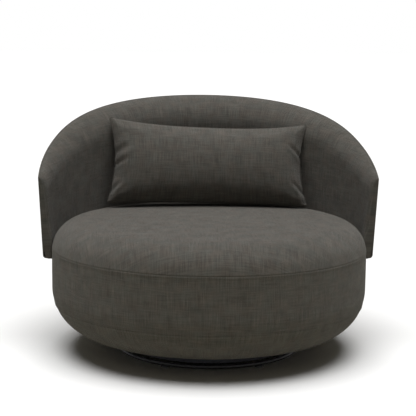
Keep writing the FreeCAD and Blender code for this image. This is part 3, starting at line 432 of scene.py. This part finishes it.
def shell_back_cover():
    """The outside cover of the shell, with its rounded lower corners."""
    rows = []
    grain = []
    count = 220
    near = [ARM_CORNER * share for share in (0, 0.025, 0.06, 0.11, 0.175, 0.25, 0.35, 0.475, 0.625, 0.8, 1)]
    first = near[-1] / SHELL_RADIUS
    angles = [along / SHELL_RADIUS for along in near[:-1]]
    angles += [first + (math.pi - 2 * first) * index / count for index in range(count + 1)]
    angles += [math.pi - along / SHELL_RADIUS for along in reversed(near[:-1])]
    shares = [index / 40 for index in range(41)]
    for angle in angles:
        along = min(angle, math.pi - angle) * SHELL_RADIUS
        corner = max(0, ARM_CORNER - along)
        bottom = SHELL_BOTTOM + ARM_CORNER - math.sqrt(ARM_CORNER ** 2 - corner ** 2)
        top = rim_at(angle)
        low = bottom + EDGE_ROUND
        heights = [bottom + EDGE_ROUND * (1 - math.cos(math.pi / 2 * index / 7)) for index in range(7)]
        heights += [low + (top - low) * share for share in shares]
        row = []
        cloth = []
        for height in heights:
            from_edge = min(height - bottom, top - height, along)
            x, y, z = about_axis(cone(height), angle, height)
            lift = BACK_WAVE_HEIGHT * uneven(x, y, z, BACK_WAVE_SIZE) * min(1, from_edge / BACK_WAVE_EASE)
            row.append(about_axis(cone(height) + lift, angle, height))
            cloth.append((angle * SHELL_RADIUS, height))
        for height in (top, low, bottom):
            row.append(about_axis(cone(height, COVER), angle, height))
            cloth.append((angle * SHELL_RADIUS, height))
        cloth.append(cloth[0])
        rows.append(row)
        grain.append(cloth)
    rows = np.array(rows)
    piece = skin("shell_back_cover", rows, np.array(grain), loop=True)
    return close_ends(piece)


def close_ends(piece):
    """Fill the open ends of a swept piece."""
    work = bmesh.new()
    work.from_mesh(piece.data)
    ends = [edge for edge in work.edges if edge.is_boundary]
    bmesh.ops.holes_fill(work, edges=ends, sides=0)
    bmesh.ops.recalc_face_normals(work, faces=work.faces)
    work.to_mesh(piece.data)
    work.free()
    return piece


def bottom_strip():
    """The cloth strip that closes the shell's lower edge beside the drum."""
    inner = DRUM_RADIUS + DRUM_CLEARANCE
    top = SHELL_BOTTOM + COVER
    section = [
        (inner, SHELL_BOTTOM),
        (cone(SHELL_BOTTOM, COVER), SHELL_BOTTOM),
        (cone(top, COVER), top),
        (inner, top),
    ]
    first = COVER / SHELL_RADIUS
    count = 200
    rows = []
    grain = []
    for index in range(count + 1):
        angle = first + (math.pi - 2 * first) * index / count
        rows.append([about_axis(radius, angle, height) for radius, height in section])
        grain.append([(angle * SHELL_RADIUS, radius + height) for radius, height in section + section[:1]])
    return close_ends(skin("shell_bottom_strip", np.array(rows), np.array(grain), loop=True))


def tube(name, path, radius, closed=True, bias=True, sides=12):
    """A round cord of cloth along a path of points, its weave on the bias."""
    path = np.array(path)
    following = np.roll(path, -1, 0)
    before = np.roll(path, 1, 0)
    if not closed:
        following[-1] = path[-1]
        before[0] = path[0]
    heading = following - before
    heading /= np.linalg.norm(heading, axis=1)[:, None]
    outward = path - np.array((0, AXIS_Y, 0))
    outward[:, 2] = 0
    outward /= np.linalg.norm(outward, axis=1)[:, None]
    side = np.cross(heading, outward)
    side /= np.linalg.norm(side, axis=1)[:, None]
    outward = np.cross(side, heading)
    steps = np.linalg.norm(following - path, axis=1)
    along = np.concatenate([[0], np.cumsum(steps)])
    turns = np.linspace(0, 2 * math.pi, sides + 1)
    ring = [outward * math.cos(turn) + side * math.sin(turn) for turn in turns[:-1]]
    places = path[:, None, :] + radius * np.stack(ring, 1)
    length, around = np.meshgrid(along, turns * radius, indexing="ij")
    cloth = np.stack([length + around, length - around] if bias else [length, around], -1)
    return skin(name, places, cloth, ring=closed, loop=True)


def welt_path():
    """Round the shell's outside edge: along the bottom, up one arm, over the rim and down the other arm."""
    inset = WELT_RADIUS
    near = [inset + (ARM_CORNER - inset) * (1 - math.cos(math.pi / 2 * index / 8)) for index in range(9)]
    low = SHELL_BOTTOM + ARM_CORNER
    curve = ARM_CORNER - inset
    right = []
    for along in near:
        corner = max(0, ARM_CORNER - along)
        right.append((along / SHELL_RADIUS, low - math.sqrt(max(0, curve ** 2 - corner ** 2))))
    bottom = list(reversed(right))
    first = ARM_CORNER / SHELL_RADIUS
    count = 260
    side = inset / SHELL_RADIUS
    arm_top = rim_at(side) - WELT_ARM_DROP
    half = bottom + [(side, low + (arm_top - low) * index / 40) for index in range(1, 41)]
    rim = []
    for index in range(1, count):
        angle = side + (math.pi - 2 * side) * index / count
        rim.append((angle, rim_at(angle) - WELT_RIM_DROP))
    other = [(math.pi - angle, height) for angle, height in reversed(half)]
    under = []
    for index in range(1, count):
        angle = math.pi - first - (math.pi - 2 * first) * index / count
        under.append((angle, SHELL_BOTTOM + inset))
    outline = half + rim + other + under
    return [about_axis(cone(height, WELT_SUNK), angle, height) for angle, height in outline]


# Loose pillow

def pillow_panel(columns=116, rows=50):
    """The pillow's two panels as closed rings of points, front and back, with the seam between them."""
    places = []
    cloth = []
    for i in range(columns + 1):
        across = -1 + 2 * i / columns
        across = math.sin(across * math.pi / 2) * 0.35 + across * 0.65
        swell = math.sqrt(max(0, 1 - abs(across) ** PILLOW_SIDE_POWER))
        height = PILLOW_MIDDLE + (PILLOW_HEIGHT - PILLOW_MIDDLE) * abs(across) ** PILLOW_MIDDLE_POWER
        ear = PILLOW_EAR * max(0, (abs(across) - (1 - PILLOW_EAR_REACH)) / PILLOW_EAR_REACH) ** 2
        drop = (PILLOW_HEIGHT - height) * PILLOW_TOP_SHARE + ear
        lift = (PILLOW_HEIGHT - height) * PILLOW_BOTTOM_SHARE + ear
        ring = []
        ring_cloth = []
        for j in range(2 * rows):
            front = j < rows
            share = j / rows if front else (j - rows) / rows
            turn = math.pi * share
            level = (1 - math.cos(turn)) / 2
            level = 0.45 * level + 0.55 * share
            if front:
                level = 1 - level
            upright = lift + (PILLOW_HEIGHT * (1 - PILLOW_SKEW * across) - drop - lift) * level
            draw = PILLOW_SIDE_DRAW * 4 * level * (1 - level)
            x = across * (PILLOW_WIDTH / 2 - draw)
            puff = max(0.0, math.sin(math.pi * level)) ** PILLOW_PUFF_POWER * swell
            depth = PILLOW_SEAM_HALF + PILLOW_PUFF_SHARE * PILLOW_THICKNESS * puff
            ring.append((x, -depth if front else depth, upright))
            ring_cloth.append((across * PILLOW_WIDTH / 2, upright if front else -upright))
        ring_cloth.append(ring_cloth[0])
        places.append(ring)
        cloth.append(ring_cloth)
    return np.array(places), np.array(cloth)


def points_of(piece):
    """The places of a mesh's points."""
    return np.array([vertex.co for vertex in piece.data.vertices])


PUFF_FRAMES = 22
PUFF_DIRECTIONS = (0.35, 1.0, 0.35)


def plump(piece, reach):
    """Blow the pillow's cloth up from inside. No point moves further than reach, and its move along the
    panel counts for less than its move outwards."""
    start = points_of(piece)
    cloth = piece.modifiers.new("Cloth", "CLOTH")
    settings = cloth.settings
    settings.quality = 6
    settings.mass = 0.35
    settings.tension_stiffness = 18
    settings.compression_stiffness = 14
    settings.shear_stiffness = 9
    settings.bending_stiffness = 0.6
    settings.use_pressure = True
    settings.uniform_pressure_force = 5.5
    settings.effector_weights.gravity = 0
    cloth.point_cache.frame_start = 1
    cloth.point_cache.frame_end = PUFF_FRAMES
    scene = bpy.context.scene
    for step in range(1, PUFF_FRAMES + 1):
        scene.frame_set(step)
    graph = bpy.context.evaluated_depsgraph_get()
    evaluated = piece.evaluated_get(graph)
    blown = np.array([vertex.co for vertex in evaluated.data.vertices])
    piece.modifiers.clear()
    scene.frame_set(1)
    move = blown - start
    size = np.linalg.norm(move, axis=1)
    share = reach * np.tanh(size / reach) / np.maximum(size, 1e-9)
    kept = share[:, None] * np.array(PUFF_DIRECTIONS)
    piece.data.vertices.foreach_set("co", (start + move * kept).ravel())
    piece.data.update()


# The cloth pushed up on both sides of a fold: its height by the fold's depth, place and width by its width
FOLD_SWELL, FOLD_SWELL_PLACE, FOLD_SWELL_WIDTH = 0.45, 2.2, 1.2


def crease(piece, start, finish, depth, width):
    """Press one fold into both faces of the pillow, from its side seam inwards along a line of x and z."""
    a = np.array(start)
    b = np.array(finish)
    span = b - a
    co = points_of(piece)
    flat = co[:, [0, 2]]
    share = np.clip(((flat - a) @ span) / (span @ span), 0, 1)
    gap = np.linalg.norm(flat - (a + share[:, None] * span), axis=1)
    press = np.exp(-(gap / width) ** 2) * (1 - share ** 2)
    raised = np.exp(-((gap - FOLD_SWELL_PLACE * width) / (FOLD_SWELL_WIDTH * width)) ** 2)
    swell = FOLD_SWELL * raised * (1 - share ** 2)
    co[:, 1] += np.where(co[:, 1] < 0, 1, -1) * depth * (press - swell)
    piece.data.vertices.foreach_set("co", co.ravel())
    piece.data.update()


# Folds that run in from the pillow's side seams: both ends in x and z, depth and width
PILLOW_FOLDS = (
    ((-0.330, 0.132), (-0.268, 0.158), 0.0070, 0.006),
    ((-0.330, 0.176), (-0.258, 0.204), 0.0060, 0.009),
    ((-0.336, 0.042), (-0.292, 0.080), 0.0060, 0.006),
    ((0.330, 0.172), (0.274, 0.214), 0.0070, 0.006),
    ((0.332, 0.048), (0.290, 0.082), 0.0060, 0.006),
    ((0.338, 0.014), (0.306, 0.022), 0.0025, 0.004),
)


def seam_round(places):
    """The pillow's seam before it is blown up: along the top, down one side, back below and up the other."""
    rows = places.shape[1] // 2
    top = list(places[:, 0])
    right = list(places[-1, 1:rows])
    bottom = list(places[::-1, rows])
    left = list(places[0, rows - 1:0:-1])
    return top + right + bottom + left


def lumbar_pillow():
    """The loose pillow, blown up as cloth, and the thin cord in the seam round it."""
    places, cloth = pillow_panel()
    piece = skin("lumbar_pillow", places, cloth, loop=True)
    close_ends(piece)
    start = points_of(piece)
    plump(piece, PILLOW_PUFF_LIMIT)
    for fold in PILLOW_FOLDS:
        crease(piece, *fold)
    piece.data.transform(PILLOW_PLACE)
    piece.data.update()
    moved = points_of(piece)
    nearest = [np.linalg.norm(start - place, axis=1).argmin() for place in seam_round(places)]
    return piece, tube("lumbar_pillow_cord", moved[nearest], PILLOW_CORD)


# Shader building

def put(tree, kind, inputs=None, **settings):
    """Add a shader node, with its settings and what its inputs hold or are fed by."""
    made = tree.nodes.new(kind)
    for key, choice in settings.items():
        setattr(made, key, choice)
    for key, held in (inputs or {}).items():
        if isinstance(held, bpy.types.NodeSocket):
            tree.links.new(held, made.inputs[key])
        else:
            made.inputs[key].default_value = held
    return made


def maths(tree, operation, first, second=0.0):
    """The result of a node that does one sum."""
    return put(tree, "ShaderNodeMath", {0: first, 1: second}, operation=operation).outputs[0]


def shader_group(name, inputs, outputs):
    """An empty shader node group with named inputs and outputs."""
    group = bpy.data.node_groups.new(name, "ShaderNodeTree")
    for label, kind, start in inputs:
        socket = group.interface.new_socket(label, in_out="INPUT", socket_type=f"NodeSocket{kind}")
        if start is not None:
            socket.default_value = start
    for label, kind in outputs:
        group.interface.new_socket(label, in_out="OUTPUT", socket_type=f"NodeSocket{kind}")
    return group, group.nodes.new("NodeGroupInput"), group.nodes.new("NodeGroupOutput")


def weave_group():
    """Plain weave with slubs: yarn colour with painted shade between the yarns, and height, from a place on
    the cloth in metres.
    """
    group, given, result = shader_group(
        "plain_weave",
        [("Grain", "Vector", None), ("Yarn Pitch", "Float", 0.0012), ("Slub Width", "Float", 0.003),
         ("Slub Length", "Float", 0.05), ("Dark Yarn", "Color", (0.05, 0.05, 0.05, 1)),
         ("Light Yarn", "Color", (0.1, 0.1, 0.1, 1)), ("Contrast", "Float", 1.0)],
        [("Colour", "Color"), ("Height", "Float"), ("Slub", "Float")],
    )
    place = put(group, "ShaderNodeSeparateXYZ", {0: given.outputs["Grain"]})
    across = maths(group, "DIVIDE", place.outputs[0], given.outputs["Yarn Pitch"])
    along = maths(group, "DIVIDE", place.outputs[1], given.outputs["Yarn Pitch"])
    warp_wave = maths(group, "SINE", maths(group, "MULTIPLY", across, math.pi))
    weft_wave = maths(group, "SINE", maths(group, "MULTIPLY", along, math.pi))
    over = maths(group, "MULTIPLY", maths(group, "MULTIPLY", warp_wave, weft_wave), 0.5)
    warp = maths(group, "MULTIPLY", maths(group, "ABSOLUTE", warp_wave), maths(group, "ADD", over, 0.5))
    weft = maths(group, "MULTIPLY", maths(group, "ABSOLUTE", weft_wave), maths(group, "SUBTRACT", 0.5, over))
    height = maths(group, "MAXIMUM", warp, weft)

    streaks = []
    for first, second, shift in ((0, 1, 0.0), (1, 0, 7.3)):
        narrow = maths(group, "DIVIDE", place.outputs[first], given.outputs["Slub Width"])
        long = maths(group, "DIVIDE", place.outputs[second], given.outputs["Slub Length"])
        at = put(group, "ShaderNodeCombineXYZ", {0: narrow, 1: long, 2: shift})
        streak = put(group, "ShaderNodeTexNoise", {"Vector": at.outputs[0], "Scale": 1.0, "Detail": 3.0,
                                                   "Roughness": 0.6})
        streaks.append(streak.outputs["Fac"])
    upright = maths(group, "MULTIPLY", streaks[0], 0.6)
    slub = maths(group, "ADD", upright, maths(group, "MULTIPLY", streaks[1], 0.4))
    patch = put(group, "ShaderNodeTexNoise", {"Vector": given.outputs["Grain"], "Scale": 22.0, "Detail": 2.0})
    tone = maths(group, "ADD", slub, maths(group, "MULTIPLY", patch.outputs["Fac"], 0.3))
    # The weave's height lightens the raised yarn and darkens the low places between the yarns: painted shade
    # in the weave's hollows.
    tone = maths(group, "ADD", tone, maths(group, "MULTIPLY", height, 0.3))
    centred = maths(group, "MULTIPLY", maths(group, "SUBTRACT", tone, 0.85), given.outputs["Contrast"])
    share = put(group, "ShaderNodeClamp", {"Value": maths(group, "ADD", centred, 0.5)})
    yarn = put(group, "ShaderNodeMix", {"Factor": share.outputs[0], "A": given.outputs["Dark Yarn"],
                                        "B": given.outputs["Light Yarn"]}, data_type="RGBA")
    dye = put(group, "ShaderNodeTexNoise", {"Vector": given.outputs["Grain"], "Scale": 30.0, "Detail": 3.0})
    depth = put(group, "ShaderNodeMapRange", {"Value": dye.outputs["Fac"], "From Min": 0.38, "From Max": 0.62})
    cast = put(group, "ShaderNodeMix", {"Factor": depth.outputs["Result"], "A": (1.035, 0.995, 0.975, 1),
                                        "B": (0.965, 1.005, 1.01, 1)}, data_type="RGBA")
    colour = put(group, "ShaderNodeMix", {"Factor": 1.0, "A": yarn.outputs["Result"],
                                          "B": cast.outputs["Result"]},
                 data_type="RGBA", blend_type="MULTIPLY")
    for key, source in (("Colour", colour.outputs["Result"]), ("Height", height), ("Slub", slub)):
        group.links.new(source, result.inputs[key])
    return group


def surface(name, roughness=0.6, metallic=0.0, specular=0.5):
    """A new material with one Principled shader, and that shader."""
    material = bpy.data.materials.new(name)
    material.use_nodes = True
    shader = material.node_tree.nodes["Principled BSDF"]
    shader.inputs["Roughness"].default_value = roughness
    shader.inputs["Metallic"].default_value = metallic
    shader.inputs["Specular IOR Level"].default_value = specular
    return material, shader


def bump(tree, shader, height, distance, strength=1.0):
    """Feed a height to a shader's normal."""
    made = put(tree, "ShaderNodeBump", {"Height": height, "Distance": distance, "Strength": strength})
    tree.links.new(made.outputs["Normal"], shader.inputs["Normal"])


def woven(name, weave, dark, light, pitch, slub_width, slub_length, contrast, relief):
    """A woven cloth whose weave follows the grain kept on the piece."""
    material, shader = surface(name, roughness=0.88, specular=0.18)
    tree = material.node_tree
    grain = put(tree, "ShaderNodeAttribute", attribute_name="grain")
    cloth = put(tree, "ShaderNodeGroup", node_tree=weave)
    tree.links.new(grain.outputs["Vector"], cloth.inputs["Grain"])
    for key, held in (("Yarn Pitch", pitch), ("Slub Width", slub_width), ("Slub Length", slub_length),
                      ("Dark Yarn", dark), ("Light Yarn", light), ("Contrast", contrast)):
        cloth.inputs[key].default_value = held
    tree.links.new(cloth.outputs["Colour"], shader.inputs["Base Color"])
    rise = maths(tree, "ADD", cloth.outputs["Height"], maths(tree, "MULTIPLY", cloth.outputs["Slub"], 1.2))
    bump(tree, shader, rise, relief)
    shader.inputs["Sheen Weight"].default_value = 0.12
    shader.inputs["Sheen Roughness"].default_value = 0.45
    return material


def mottle_group():
    """Uneven finish from the object's own coordinates: a tone, a fine height and a roughness."""
    group, given, result = shader_group(
        "uneven_finish",
        [("Size", "Float", 0.02), ("Stretch", "Vector", (1, 1, 1)), ("Dark", "Color", (0, 0, 0, 1)),
         ("Light", "Color", (1, 1, 1, 1)), ("Smooth", "Float", 0.3), ("Rough", "Float", 0.5)],
        [("Colour", "Color"), ("Height", "Float"), ("Roughness", "Float")],
    )
    place = put(group, "ShaderNodeTexCoord").outputs["Object"]
    pulled = put(group, "ShaderNodeVectorMath", {0: place, 1: given.outputs["Stretch"]}, operation="MULTIPLY")
    scale = maths(group, "DIVIDE", 1.0, given.outputs["Size"])
    broad = put(group, "ShaderNodeTexNoise", {"Vector": pulled.outputs[0], "Scale": scale, "Detail": 5.0,
                                              "Roughness": 0.6})
    fine = put(group, "ShaderNodeTexNoise", {"Vector": pulled.outputs[0], "Detail": 2.0,
                                             "Scale": maths(group, "MULTIPLY", scale, 14.0)})
    colour = put(group, "ShaderNodeMix", {"Factor": broad.outputs["Fac"], "A": given.outputs["Dark"],
                                          "B": given.outputs["Light"]}, data_type="RGBA")
    spread = maths(group, "SUBTRACT", given.outputs["Rough"], given.outputs["Smooth"])
    share = maths(group, "MULTIPLY", spread, broad.outputs["Fac"])
    roughness = maths(group, "ADD", given.outputs["Smooth"], share)
    for key, source in (("Colour", colour.outputs["Result"]), ("Height", fine.outputs["Fac"]),
                        ("Roughness", roughness)):
        group.links.new(source, result.inputs[key])
    return group


def hard(name, mottle, dark, light, smooth, rough, size, relief, metallic=0.0, stretch=(1, 1, 1)):
    """A hard finish: paint, plating, board or moulded plastic."""
    material, shader = surface(name, metallic=metallic)
    tree = material.node_tree
    finish = put(tree, "ShaderNodeGroup", node_tree=mottle)
    for key, held in (("Size", size), ("Stretch", stretch), ("Dark", dark), ("Light", light),
                      ("Smooth", smooth), ("Rough", rough)):
        finish.inputs[key].default_value = held
    tree.links.new(finish.outputs["Colour"], shader.inputs["Base Color"])
    tree.links.new(finish.outputs["Roughness"], shader.inputs["Roughness"])
    bump(tree, shader, finish.outputs["Height"], relief)
    return material


def finish_node(name, material):
    """Give a carried-over frame node its finish."""
    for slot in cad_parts[name].material_slots:
        slot.material = material


# Finishes

plain_weave = weave_group()
uneven_finish = mottle_group()
charcoal = woven("charcoal_linen_weave", plain_weave, (0.070, 0.065, 0.057, 1), (0.177, 0.165, 0.147, 1),
                 0.0013, 0.0027, 0.060, 2.3, 0.0007)
straps = woven("elastic_webbing", plain_weave, (0.02, 0.02, 0.022, 1), (0.35, 0.32, 0.26, 1),
               0.0016, 0.004, 0.2, 1.2, 0.0004)
powder_coat = hard("black_powder_coat", uneven_finish, (0.008, 0.008, 0.009, 1), (0.014, 0.014, 0.015, 1),
                   0.48, 0.62, 0.006, 0.00006)
plating = hard("zinc_plating", uneven_finish, (0.42, 0.43, 0.44, 1), (0.62, 0.62, 0.60, 1),
               0.26, 0.44, 0.012, 0.00004, metallic=1.0)
nylon = hard("black_nylon", uneven_finish, (0.012, 0.012, 0.012, 1), (0.022, 0.022, 0.022, 1),
             0.5, 0.66, 0.01, 0.00008)
board = hard("black_painted_board", uneven_finish, (0.012, 0.013, 0.018, 1), (0.022, 0.024, 0.032, 1),
             0.55, 0.75, 0.02, 0.0002)
plywood = hard("birch_plywood", uneven_finish, (0.36, 0.24, 0.13, 1), (0.62, 0.46, 0.28, 1),
               0.5, 0.7, 0.03, 0.0002, stretch=(0.25, 1, 6))
lining = hard("black_dust_cloth", uneven_finish, (0.012, 0.012, 0.012, 1), (0.03, 0.03, 0.03, 1),
              0.8, 0.95, 0.004, 0.0004)

FINISHES = {
    "base_ring": powder_coat, "base_cross": powder_coat, "hub_plate": plating, "swivel_plate": plating,
    "lower_race": plating, "upper_race": plating, "lower_rivets": plating, "upper_rivets": plating,
    "bearing_cage": plating, "bearing_balls": plating, "plate_bolts": plating, "tee_nuts": plating,
    "shell_bolts": plating, "shell_washers": plating, "glides": nylon, "shell_spacers": nylon,
    "plinth_ring": board, "dust_cover": lining, "base_panel": plywood, "frame_ribs": plywood,
    "lower_liner": plywood, "top_ring": plywood, "drum_hoop": plywood, "shell_rail": plywood,
    "shell_board": plywood, "plinth_disc": plywood,
    "webbing_lengthwise": straps, "webbing_crosswise": straps,
}
for node_name, finish in FINISHES.items():
    finish_node(node_name, finish)

# Upholstered pieces

CLOTH = "charcoal_weave"
seat_top = drum_panel("seat_top", 0, UPPER_SEAM_LENGTH, 0, 0.0003, 0.012, True)
dress(seat_top, "seat", charcoal, CLOTH, "seat_foam", "seat_top_cover")
seat_band = drum_panel("seat_band", UPPER_SEAM_LENGTH, LOWER_SEAM_LENGTH, 0.0005, 0.0003,
                       COVER + SIDE_FOAM, False)
dress(seat_band, "seat", charcoal, CLOTH, "side_foam_front", "side_foam_back", "side_foam_left",
      "side_foam_right", "seat_band_cover")
seat_lower = drum_panel("seat_lower", LOWER_SEAM_LENGTH, DRUM_LENGTH, 0.0012, 0, COVER, False)
dress(seat_lower, "seat", charcoal, CLOTH, "seat_lower_cover")

pad = shell_pad()
dress(pad, "seat", charcoal, CLOTH, "inner_cover", "back_foam", "arm_foam_right", "arm_foam_left",
      "arm_facing_right", "arm_facing_left")
dress(shell_back_cover(), "seat", charcoal, CLOTH, "outer_cover")
dress(tube("shell_welt", welt_path(), WELT_RADIUS), "seat", charcoal, CLOTH, "edge_welt")
dress(bottom_strip(), "seat", lining, "lining", "bottom_strip")

pillow, pillow_cord = lumbar_pillow()
dress(pillow, "pillow", charcoal, CLOTH, "pillow_cover", "pillow_fill")
dress(pillow_cord, "pillow", charcoal, CLOTH)

# Floor, light and camera

def background_share(tree):
    """1 for the rays that show the background: straight to the camera, mirrored or through glass."""
    rays = put(tree, "ShaderNodeLightPath")
    shown = maths(tree, "MAXIMUM", rays.outputs["Is Camera Ray"], rays.outputs["Is Glossy Ray"])
    return maths(tree, "MAXIMUM", shown, rays.outputs["Is Transmission Ray"])


FLOOR_SHOWN = (0.99, 0.99, 0.99, 1)
FLOOR_BOUNCE = (0.44, 0.42, 0.34, 1)
ROOM_SHOWN = (1, 1, 1, 1)
ROOM_LIGHT = (0.072, 0.069, 0.058, 1)


def pale_floor():
    """A plain pale floor that keeps the chair's shadow and throws only a little light back up."""
    half = 60.0
    mesh = bpy.data.meshes.new("floor")
    corners = [(-half, -half, 0), (half, -half, 0), (half, half, 0), (-half, half, 0)]
    mesh.from_pydata(corners, [], [(0, 1, 2, 3)])
    floor = bpy.data.objects.new("floor", mesh)
    bpy.context.scene.collection.objects.link(floor)
    material, shader = surface("pale_floor", roughness=1.0, specular=0.0)
    tree = material.node_tree
    colour = put(tree, "ShaderNodeMix", {"Factor": background_share(tree), "A": FLOOR_BOUNCE,
                                         "B": FLOOR_SHOWN}, data_type="RGBA")
    tree.links.new(colour.outputs["Result"], shader.inputs["Base Color"])
    mesh.materials.append(material)


def studio_light():
    """One broad soft light overhead and a dim surround."""
    lamp = bpy.data.lights.new("overhead", "SUN")
    lamp.energy = 3.3
    lamp.angle = math.radians(50)
    overhead = bpy.data.objects.new("overhead", lamp)
    overhead.rotation_euler = (math.radians(6), 0, 0)
    bpy.context.scene.collection.objects.link(overhead)
    world = bpy.data.worlds.new("studio")
    bpy.context.scene.world = world
    world.use_nodes = True
    tree = world.node_tree
    colour = put(tree, "ShaderNodeMix", {"Factor": background_share(tree), "A": ROOM_LIGHT,
                                         "B": ROOM_SHOWN}, data_type="RGBA")
    tree.links.new(colour.outputs["Result"], tree.nodes["Background"].inputs["Color"])


CAMERA_LENS = 103.15
CAMERA_HEIGHT = 1.0206
CAMERA_DISTANCE = 3.84
CAMERA_ASIDE = -0.005
CAMERA_TURN = math.radians(-3.1)
CAMERA_TILT = math.radians(90 - 8.3)
CAMERA_ROLL = 0.0104


def photo_camera():
    """The photograph's view: a long lens above the seat, looking slightly down, turned and tilted."""
    data = bpy.data.cameras.new("camera")
    data.sensor_width = 36
    data.lens = CAMERA_LENS
    data.clip_end = 200
    camera = bpy.data.objects.new("camera", data)
    stand = Matrix.Translation((0, AXIS_Y, CAMERA_HEIGHT)) @ Matrix.Rotation(CAMERA_TURN, 4, "Z")
    aim = Matrix.Rotation(CAMERA_TILT, 4, "X") @ Matrix.Rotation(CAMERA_ROLL, 4, "Z")
    camera.matrix_world = stand @ Matrix.Translation((CAMERA_ASIDE, -CAMERA_DISTANCE, 0)) @ aim
    bpy.context.scene.collection.objects.link(camera)
    bpy.context.scene.camera = camera


pale_floor()
studio_light()
photo_camera()
bpy.context.scene.view_settings.view_transform = "Standard"
